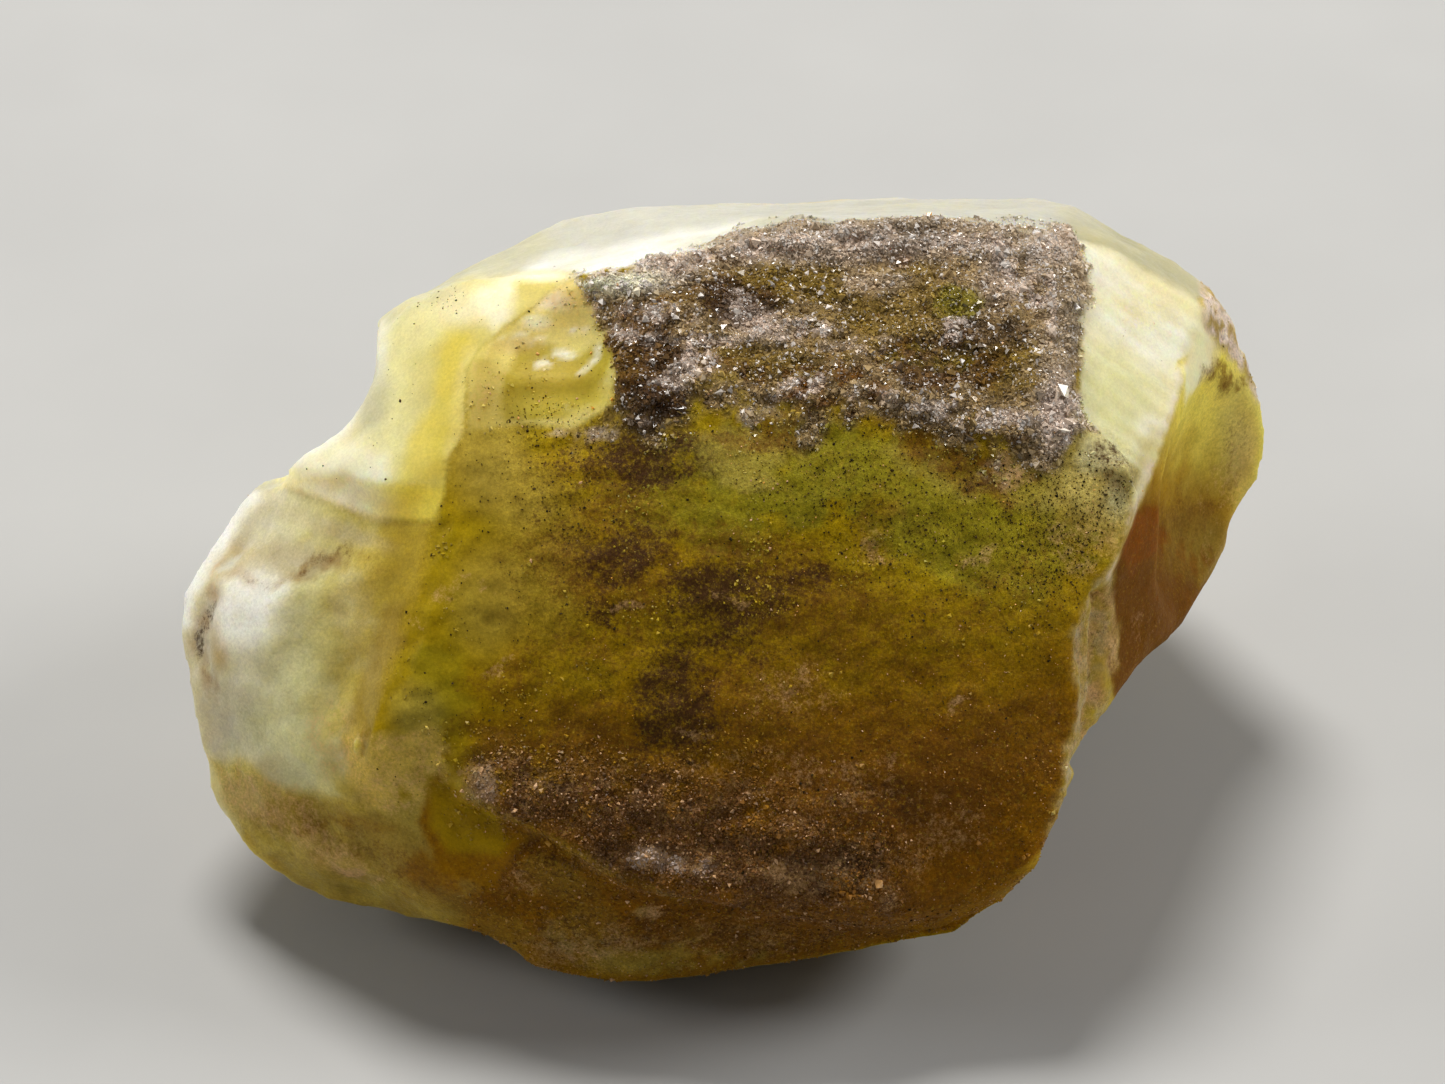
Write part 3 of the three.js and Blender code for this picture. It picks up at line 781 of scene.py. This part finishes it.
# pale patches on the crust, mostly painted highlights near its top edge, and a tan patch
CRUST_GLOWS = [
    (glows, SHELL, [
        (665, 270, 44, 16, 0.8, -12), (830, 250, 140, 16, 0.5, -2), (1062, 412, 24, 44, 0.9),
        (1000, 278, 24, 30, 0.4), (1060, 245, 30, 20, 0.5), (765, 325, 40, 18, 0.5, 20),
        (880, 280, 40, 12, 0.35),
    ]),
    (glows, IVORY_HIGHLIGHT, [(614, 280, 64, 16, 0.9)]),
    (glows, TAN, [(606, 398, 14, 18, 0.7)]),
]
mark(crust, CRUST_GLOWS)

# the right face: lemon at the top, with a painted highlight where it is lit, amber lower down, with a rind at
# its far rim
paint(right, BRIGHT_LEMON, stain=0.3, depth=0.6, matte=1, brown=0, dark=0, pale=0)
RIGHT_STRAW = [(1245, 420, 34, 60, 0.6)]
glows(right, STRAW, RIGHT_STRAW)
paint(ramp(390, 520, rough_y + 0.5 * (1200 - at_x) + 20 * n_torn) * right * 0.9, AMBER)
low_right = ramp(470, 590, rough_y + 0.6 * (1180 - at_x) + 30 * n_torn)
paint(low_right * right, DEEP_RUST, stain=0.5, depth=0.4)
RIGHT_SPOTS = [
    (glows, BRONZE, [(1190, 545, 40, 50, 0.9), (1212, 552, 26, 34, 0.8)]),
    (glows, KHAKI, [(1244, 462, 18, 50, 0.6)]),
    (glows, TAN, [(1240, 530, 14, 50, 0.4, 20)]),
    (patches, BRONZE, [(1226, 378, 17, 12, 0.8, 20), (1210, 480, 40, 18, 0.4)]),
    (patches, RED_BROWN, [(1140, 540, 28, 34, 0.9), (1195, 555, 24, 18, 0.6), (1170, 590, 30, 16, 0.5)]),
    (flecks, "brown", [
        (1180, 600, 60, 40, 0.7), (1120, 680, 26, 50, 0.8), (1150, 570, 50, 50, 0.5),
        (1190, 510, 50, 30, 0.5), (1226, 380, 22, 12, 0.6, 20), (1235, 460, 24, 40, 0.3),
    ]),
    (flecks, "pale", [(1225, 560, 20, 50, 0.2, 20), (1140, 640, 34, 50, 0.15), (1225, 480, 30, 30, 0.3)]),
]
mark(right, RIGHT_SPOTS)
# a painted highlight on the lit upper part of the right face
paint(inside(rough_at, RIGHT_HIGHLIGHT, 7) * front, LEMON_WHITE, stain=0.03, matte=0.3)
rind = inside(rough_at, RIGHT_RIM, 6) * front
paint(rind, TAN, stain=0.6, grit=0.6)
paint(rind * ramp(-0.4, 0.2, n_clump), SHELL, frost=0.3)
broken = inside(rough_at + 6 * wander, BROKEN_EDGE, 6) * front
paint(broken, BRASS, stain=0.6, depth=0.4, grit=0.6, brown=0.3, dark=0.15, pale=0.45)
paint(inside(rough_at, BROKEN_EDGE, 6) * front * ramp(-0.2, 0.4, n_clump) * 0.7, BEIGE)
streaks = ramp(-0.3, 0.4, n_small)
stroke(EDGE_VEINS[0], 0, 9, 0.8 * streaks, BEIGE, rough=7)
stroke(EDGE_VEINS[1], 0, 7, 0.8 * streaks, PINKISH, rough=7)
stroke(EDGE_VEINS[2], 0, 7, 0.7 * smears, PINKISH, rough=7)

varied = 0.35 + surface["stain"]
surface["tint"] *= (1 + varied * (0.13 * n_mid + 0.16 * n_small))[:, None]
surface["tint"] = np.clip(surface["tint"], 0.001, 0.95)

# ---- relief

clumps = nearest_spot(points, 0.42, 23)
lift = 0.05 * n_mid * (1 - 0.7 * main)
lift += 0.05 * noise(points, 0.4, 21, 2) * (0.15 + main * (1 - scar))
lift += surface["grit"] * (0.10 * noise(points, 0.8, 22, 2) - 0.06 * n_clump + 0.15 * (0.45 - clumps))
lift += ramp(420, 340, at_x) * front * 0.08 * noise(points, 1.3, 24, 3)
KNOB_BULGE = ((255, 622), (44, 52))
lift += 0.22 * blob(at, *KNOB_BULGE) * front
lift += (0.12 + 0.2 * noise(points, 0.7, 26, 2)) * near_line(at, CRUST_RIM, 3, 30) * front * crust
# grooves and ridges: line, how far it wanders, width and softness in pixels, rise in mm
CARVED = [
    (KNOB_GROOVE, 10, 0, 16, -0.05), (KNOB_CREVICE, 10, 2, 16, -0.10), (TERRACE_STEP, 2, 1, 8, -0.03),
    (EDGE_GAP, 3, 1, 9, -0.30), (FACET_RIDGE, 0, 1, 8, 0.12),
]
for line, rough, width, soft, rise in CARVED:
    lift += rise * near_line(at + rough * wander, line, width, soft) * front
across_facet = at @ np.array([-0.60, 0.80])
lift += 0.02 * np.sin(across_facet / 2.6 + 2 * n_mid) * facet
# worn and chipped edges
lift -= ramp(0.05, 0.35, edge) * ramp(-0.2, 0.8, noise(points, 0.9, 25, 3)) * 0.18
points = points + lift[:, None] * normals
height = points @ AXES[:, 2] + ORIGIN[2]
points += np.maximum(-height, 0)[:, None] * AXES[:, 2]  # nothing reaches below the floor
normals = normals_of(points, faces)


def new_piece(name, own_points, polygons, material, attributes):
    """A mesh object in metres in the model's frame that rides on the root body. attributes are by point."""
    mesh = bpy.data.meshes.new(name)
    mesh.from_pydata(to_model(own_points).tolist(), [], polygons.tolist())
    for key, values in attributes.items():
        if values.ndim == 2:
            opaque = np.hstack([values, np.ones((len(values), 1))])
            layer = mesh.attributes.new(key, "FLOAT_COLOR", "POINT")
            layer.data.foreach_set("color", opaque.astype(np.float32).ravel())
        else:
            layer = mesh.attributes.new(key, "FLOAT", "POINT")
            layer.data.foreach_set("value", values.astype(np.float32))
    mesh.materials.append(material)
    obj = add_object(name, mesh)
    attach(obj, "root")
    return obj


# ---- materials


class Nodes:
    """Short ways to add nodes to a material."""

    def __init__(self, name):
        self.material = bpy.data.materials.new(name)
        self.material.use_nodes = True
        self.tree = self.material.node_tree
        self.shader = next(n for n in self.tree.nodes if n.type == "BSDF_PRINCIPLED")
        own = self.add("TexCoord").outputs["Object"]
        self.place = self.feed(self.add("VectorMath", operation="SCALE"), Vector=own, Scale=1 / MM)

    def add(self, kind, **settings):
        node = self.tree.nodes.new("ShaderNode" + kind)
        for key, value in settings.items():
            setattr(node, key, value)
        return node

    def put(self, value, socket):
        if isinstance(value, bpy.types.NodeSocket):
            self.tree.links.new(value, socket)
        elif isinstance(value, np.ndarray):
            socket.default_value = (*value.tolist(), 1.0)
        else:
            socket.default_value = value

    def attribute(self, name, output="Fac"):
        return self.add("Attribute", attribute_name=name).outputs[output]

    def math(self, operation, a, b=0.0, clamp=False):
        node = self.add("Math", operation=operation, use_clamp=clamp)
        self.put(a, node.inputs[0])
        self.put(b, node.inputs[1])
        return node.outputs[0]

    def times(self, a, b):
        return self.math("MULTIPLY", a, b)

    def plus(self, a, b, clamp=False):
        return self.math("ADD", a, b, clamp)

    def feed(self, node, **values):
        """Sets or links a node's inputs, where _ stands for a space, and gives its first output."""
        for key, value in values.items():
            self.put(value, node.inputs[key.replace("_", " ")])
        return node.outputs[0]

    def noise(self, scale, detail=3.0, rough=0.55):
        node = self.add("TexNoise")
        return self.feed(node, Vector=self.place, Scale=scale, Detail=detail, Roughness=rough)

    def remap(self, value, low, high, to_low=0.0, to_high=1.0):
        node = self.add("MapRange")
        return self.feed(node, Value=value, From_Min=low, From_Max=high, To_Min=to_low, To_Max=to_high)

    def mix(self, amount, a, b, blend="MIX"):
        node = self.add("Mix", data_type="RGBA", blend_type=blend)
        self.put(amount, node.inputs[0])
        self.put(a, node.inputs[6])
        self.put(b, node.inputs[7])
        return node.outputs[2]

    def bump(self, height, strength, distance_mm):
        node = self.add("Bump")
        normal = self.feed(node, Height=height, Strength=strength, Distance=distance_mm * MM)
        self.feed(self.shader, Normal=normal)


def ragged(m, fine, coarse):
    """An uneven value around 0, from two noises. Each: scale, detail, roughness, and how far it reaches."""
    parts = [m.remap(m.noise(*shape), 0.3, 0.7, -reach, reach) for *shape, reach in (fine, coarse)]
    return m.plus(*parts)


def flecked(m, kind, uneven, most):
    """How much flecks of one kind cover, from where they lie close and an uneven value around 0."""
    amount = m.attribute(kind)
    cover = m.remap(m.plus(amount, uneven), 0.25, 1)
    return m.times(cover, m.math("MINIMUM", m.times(amount, 4), most))


def body_material():
    m = Nodes("datolite")
    stain, frost, grit = m.attribute("stain"), m.attribute("frost"), m.attribute("grit")
    base = m.attribute("tint", "Color")
    uneven = m.plus(m.times(stain, 0.9), 0.2, clamp=True)
    cloud = m.remap(m.noise(1.1, 5, 0.6), 0.3, 0.7, 0.87, 1.13)
    base = m.mix(uneven, base, m.mix(1, base, cloud, "MULTIPLY"))
    mottle = m.remap(m.noise(2.4, 7, 0.75), 0.47, 0.62)
    base = m.mix(m.times(mottle, m.times(stain, 0.3)), base, BROWN)
    base = m.mix(m.times(m.attribute("brown"), 0.3), base, RED_BROWN)
    torn_edges = ragged(m, (8, 4, 0.8, 0.45), (2.2, 6, 0.7, 0.4))
    for kind, tone, most in (("brown", BROWN, 0.8), ("dark", DARK_BROWN, 0.92)):
        base = m.mix(flecked(m, kind, torn_edges, most), base, tone)
    dark = m.remap(m.noise(7, 5, 0.75), 0.54, 0.66)
    base = m.mix(m.times(dark, m.times(stain, 0.5)), base, DARK_BROWN)
    light = m.remap(m.noise(10, 4, 0.7), 0.56, 0.66)
    base = m.mix(m.times(light, m.times(stain, 0.45)), base, OCHRE)
    torn_edges = ragged(m, (5.5, 6, 0.85, 0.5), (1.7, 3, 0.55, 0.2))
    base = m.mix(flecked(m, "pale", torn_edges, 0.8), base, PINKISH)
    # whitish where frosted: pale grains, partly a painted sparkle
    icy = m.plus(m.noise(6.5, 6, 0.8), m.times(frost, 0.14))
    icy = m.times(m.remap(icy, 0.60, 0.70), m.math("MINIMUM", frost, 0.8))
    base = m.mix(icy, base, ICE)
    grain = m.remap(m.noise(11, 5, 0.8), 0.34, 0.66, 0.6, 1.4)
    base = m.mix(uneven, base, m.mix(1, base, grain, "MULTIPLY"))
    rough = m.remap(m.noise(3, 4), 0.3, 0.7, 0.28, 0.46)
    m.feed(
        m.shader,
        Base_Color=base,
        Roughness=m.plus(rough, m.times(m.attribute("matte"), 0.35)),
        IOR=1.6,
        Specular_IOR_Level=0.05,
        Specular_Tint=(1.0, 0.88, 0.6, 1.0),
        Subsurface_Weight=m.attribute("depth"),
        Subsurface_Radius=(1.0, 0.75, 0.28),
        Subsurface_Scale=2.0 * MM,
    )
    strength = m.plus(m.times(stain, 0.5), m.times(grit, 0.5))
    m.bump(m.noise(6, 7, 0.75), m.plus(strength, 0.05), distance_mm=0.12)
    return m.material


body = new_piece("crystal_body", points, faces, body_material(), surface)
body.data.polygons.foreach_set("use_smooth", np.ones(len(faces), bool))
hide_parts("crystal")

# ---- grains

triangles = np.vstack([faces[:, [0, 1, 2]], faces[:, [0, 2, 3]]])


def scatter(density, count, rng):
    """Random places on the body, more where density is high: points, normals and near points' numbers."""
    a, b, c = (points[triangles[:, k]] for k in range(3))
    area = np.linalg.norm(np.cross(b - a, c - a), axis=1)
    weight = area * density[triangles].mean(axis=1)
    chosen = rng.choice(len(triangles), count, p=weight / weight.sum())
    u, v = rng.random(count), rng.random(count)
    flip = u + v > 1
    u[flip], v[flip] = 1 - u[flip], 1 - v[flip]
    place = a[chosen] + u[:, None] * (b - a)[chosen] + v[:, None] * (c - a)[chosen]
    home = triangles[chosen, 0]
    return place, normals[home], home


def turned(count, rng):
    """Random rotation matrices."""
    q = rng.normal(size=(count, 4))
    w, x, y, z = (q / np.linalg.norm(q, axis=1, keepdims=True)).T
    rows = [
        [1 - 2 * (y * y + z * z), 2 * (x * y - w * z), 2 * (x * z + w * y)],
        [2 * (x * y + w * z), 1 - 2 * (x * x + z * z), 2 * (y * z - w * x)],
        [2 * (x * z - w * y), 2 * (y * z + w * x), 1 - 2 * (x * x + y * y)],
    ]
    return np.moveaxis(np.array(rows), 2, 0)


# a small crystal: two blunt pyramids, base to base
GRAIN_CORNERS = np.array([(1, 0, 0), (0, 1, 0), (-1, 0, 0), (0, -1, 0), (0, 0, 1.1), (0, 0, -1.1)], float)
GRAIN_FACES = np.array([(i, (i + 1) % 4, 4) for i in range(4)] + [((i + 1) % 4, i, 5) for i in range(4)])


def grains(place, out, size, stand, stretch, rng):
    """Many small crystals as one mesh: points and faces.

    size is each one's half width in mm, stand how far it stands out in half widths, stretch how uneven it is.
    """
    count = len(place)
    shape = GRAIN_CORNERS[None] * rng.uniform(1 - stretch, 1 + stretch, (count, 1, 3)) * size[:, None, None]
    shape = shape + rng.normal(size=shape.shape) * 0.15 * size[:, None, None]
    shape = np.einsum("nij,nkj->nki", turned(count, rng), shape)
    shape = shape + (place + out * (size * stand)[:, None])[:, None]
    polygons = GRAIN_FACES[None] + (np.arange(count) * len(GRAIN_CORNERS))[:, None, None]
    return shape.reshape(-1, 3), polygons.reshape(-1, 3)


def grain_material(name, roughness, clear, shine=0.5):
    m = Nodes(name)
    shade = m.remap(m.noise(12, 2), 0.3, 0.7, 0.8, 1.2)
    m.feed(
        m.shader,
        Base_Color=m.mix(1, m.attribute("tint", "Color"), shade, "MULTIPLY"),
        Roughness=m.remap(m.noise(5, 2), 0.3, 0.7, roughness, roughness + 0.2),
        IOR=1.6,
        Specular_IOR_Level=shine,
        Transmission_Weight=clear,
    )
    return m.material


def grain_piece(name, made, tones, material):
    """The piece for what grains() made, with one tone for each grain."""
    new_piece(name, *made, material, {"tint": np.repeat(tones, len(GRAIN_CORNERS), axis=0)})


def half_widths(middle, spread, least, most, count, rng):
    """Random half widths, in mm."""
    return np.clip(rng.lognormal(math.log(middle), spread, count), least, most)


def crust_piece(name, density, count, half_width, seed, material, bright=ICE):
    """Grains in the tone of their place, darker and lighter by chance, and icy white where it is frosted,
    partly as a painted sparkle.
    """
    rng = np.random.default_rng(seed)
    place, out, home = scatter(density, count, rng)
    size = half_widths(half_width, 0.4, 0.5 * half_width, 2.8 * half_width, count, rng)
    tones = surface["tint"][home] * rng.uniform(0.65, 1.35, (count, 1))
    clustered = ramp(-0.2, 0.4, noise(place, 0.35, seed, 2))
    icy = rng.random(count) < 0.05 + 0.65 * surface["frost"][home] * clustered
    tones = np.where(icy[:, None], bright * rng.uniform(0.6, 1.1, (count, 1)), tones)
    grain_piece(name, grains(place, out, size, -0.15, 0.4, rng), tones, material)


druse = grain_material("druse", 0.15, 0.1)
patchy = ramp(-0.9, 0.1, noise(points, 0.8, 33, 3))
crust_piece("druse", crust * patchy, 18000, half_width=0.046, seed=31, material=druse)
crust_piece("fine_druse", crust * (0.3 + surface["frost"]), 24000, half_width=0.026, seed=37, material=druse)
low_cover = low_crust * patchy + 0.3 * surface["frost"] * (1 - crust) * (1 - facet)
low_cover += 0.12 * main * ramp(0.1, 0.7, n_mid) + 0.15 * bottom
clear_of_floor = height > 0.8
low_cover *= front * clear_of_floor
dull = grain_material("low_druse", 0.35, 0.0, 0.25)
crust_piece("low_druse", low_cover, 16000, half_width=0.030, seed=35, material=dull, bright=WARM_ICE)
back_patchy = ramp(-0.9, 0.1, noise(points, 0.8, 38, 3))
back_cover = back_crust * back_patchy * clear_of_floor
crust_piece("back_druse", back_cover, 9000, half_width=0.040, seed=39, material=druse)

SPECKS = 5600
main_only = main * (1 - rightward)
dots = main_only * (1 - 0.8 * crust) * 0.22 * ramp(-0.4, 0.6, noise(points, 1.2, 42, 3))
SPECKLED = [
    ((1080, 520), (80, 110), 20), ((940, 510), (190, 90), 10), ((540, 420), (40, 22)),
    ((570, 490), (60, 60)), ((445, 302), (22, 14)),
]
right_end, upper_main, scar_foot, below_scar, corner = (blob(at, *spot) for spot in SPECKLED)
dots += main_only * right_end * 1.2
dots += main_only * upper_main * 0.9
dots += (scar_foot * 1.5 + below_scar * 0.6) * front
dots += (shoulder * 0.02 + corner * 0.4) * ramp(0.3, 0.6, facing)
rng = np.random.default_rng(41)
place, out, home = scatter(dots, SPECKS, rng)
made = grains(place, out, half_widths(0.017, 0.4, 0.008, 0.04, SPECKS, rng), 0.1, 0.6, rng)
tones = rgb(58, 46, 18) * rng.uniform(0.3, 1.5, (SPECKS, 1))
grain_piece("specks", made, tones, grain_material("specks", 0.7, 0.0, 0.1))

# larger pale crystals, which join the painted glints: where they show, and their half widths in mm
PLATES = [
    (1064, 388, 0.22), (1056, 393, 0.16), (1066, 430, 0.14), (706, 362, 0.11), (698, 372, 0.12),
    (690, 382, 0.09), (812, 322, 0.09), (958, 326, 0.10), (884, 287, 0.06), (640, 270, 0.09),
    (605, 275, 0.08), (590, 284, 0.07), (672, 262, 0.08), (930, 216, 0.08), (1012, 270, 0.09),
    (1040, 245, 0.10), (778, 300, 0.07), (870, 385, 0.08), (960, 400, 0.08), (880, 884, 0.12),
    (612, 400, 0.08), (596, 408, 0.06), (540, 356, 0.05), (590, 352, 0.05), (520, 420, 0.05),
]
# tiny bright grains as painted glints: golden away from the crust and the facet, whiter on them
GLINTS = 2600
sparkling = main_only * ramp(540, 640, at_x + 0.3 * (at_y - 600)) * ramp(-0.3, 0.4, n_torn)
sparkling = sparkling + 0.5 * low_crust + 0.4 * bottom + 0.3 * facet + crust
place, out, home = scatter(sparkling, GLINTS, rng)
size = half_widths(0.013, 0.35, 0.007, 0.03, GLINTS, rng)
hidden = 1000 * (facing < 0.2)
nearest = [np.argmin(np.linalg.norm(at - (x, y), axis=1) + hidden) for x, y, _ in PLATES]
place, out = np.vstack([place, points[nearest]]), np.vstack([out, normals[nearest]])
home = np.append(home, nearest)
size = np.append(size, [half_width for _, _, half_width in PLATES])
made = grains(place, out, size, 0.3, 0.5, rng)
gold = 0.8 * rng.random(len(size))
gold = np.where((crust + facet)[home] > 0.3, 0.4 * gold, 0.6 + 0.5 * gold)[:, None]
tones = gold * rgb(236, 168, 60) + (1 - gold) * rgb(250, 242, 230)
grain_piece("glints", made, tones, grain_material("glints", 0.1, 0.0))

# ---- floor, lights, camera


def floor_material():
    m = Nodes("floor")
    tone = m.remap(m.noise(0.08, 3), 0.3, 0.7, 0.97, 1.03)
    m.feed(m.shader, Base_Color=m.mix(1, (0.50, 0.50, 0.49, 1.0), tone, "MULTIPLY"), Roughness=0.8)
    return m.material


FLOOR_HALF = 1.5  # m
mesh = bpy.data.meshes.new("floor")
corners = [(FLOOR_HALF * x, FLOOR_HALF * y, 0) for x, y in ((-1, -1), (1, -1), (1, 1), (-1, 1))]
mesh.from_pydata(corners, [], [(0, 1, 2, 3)])
mesh.materials.append(floor_material())
floor = add_object("floor", mesh)


MIDDLE = Vector((0.0, 0.0, 0.009))  # of the crystal, in m


def area_light(name, place, size, power, tone):
    """A round soft light that shines at the crystal, in metres and watts."""
    data = bpy.data.lights.new(name, "AREA")
    data.shape = "DISK"
    data.size = size
    data.energy = power
    data.color = tone
    obj = add_object(name, data)
    obj.location = place
    obj.rotation_euler = (MIDDLE - Vector(place)).to_track_quat("-Z", "Y").to_euler()


area_light("key", (-0.06, 0.16, 0.385), size=0.14, power=1.5, tone=(1.0, 0.98, 0.95))
area_light("right", (0.34, 0.05, 0.25), size=0.16, power=0.75, tone=(1.0, 0.99, 0.97))
area_light("left", (-0.38, 0.02, 0.16), size=0.16, power=0.45, tone=(1.0, 0.99, 0.97))

world = bpy.data.worlds.new("studio")
bpy.context.scene.world = world
world.use_nodes = True
background = next(n for n in world.node_tree.nodes if n.type == "BACKGROUND")
background.inputs["Color"].default_value = (1.0, 0.98, 0.95, 1.0)
background.inputs["Strength"].default_value = 0.12

optics = bpy.data.cameras.new("camera")
optics.lens = 150.0
optics.sensor_width = 36.0
optics.sensor_fit = "HORIZONTAL"
optics.clip_start = 0.01
optics.clip_end = 10
optics.shift_x = (PHOTO_SIZE[0] / 2 - CENTRE_PX[0]) / PHOTO_SIZE[0]
optics.shift_y = (CENTRE_PX[1] - PHOTO_SIZE[1] / 2) / PHOTO_SIZE[0]
camera = add_object("camera", optics)
camera.location = (ORIGIN + VIEW_DISTANCE * AXES[2]) * MM
camera.rotation_euler = (LEAN, 0, 0)
bpy.context.scene.camera = camera
bpy.context.scene.view_settings.view_transform = "Standard"
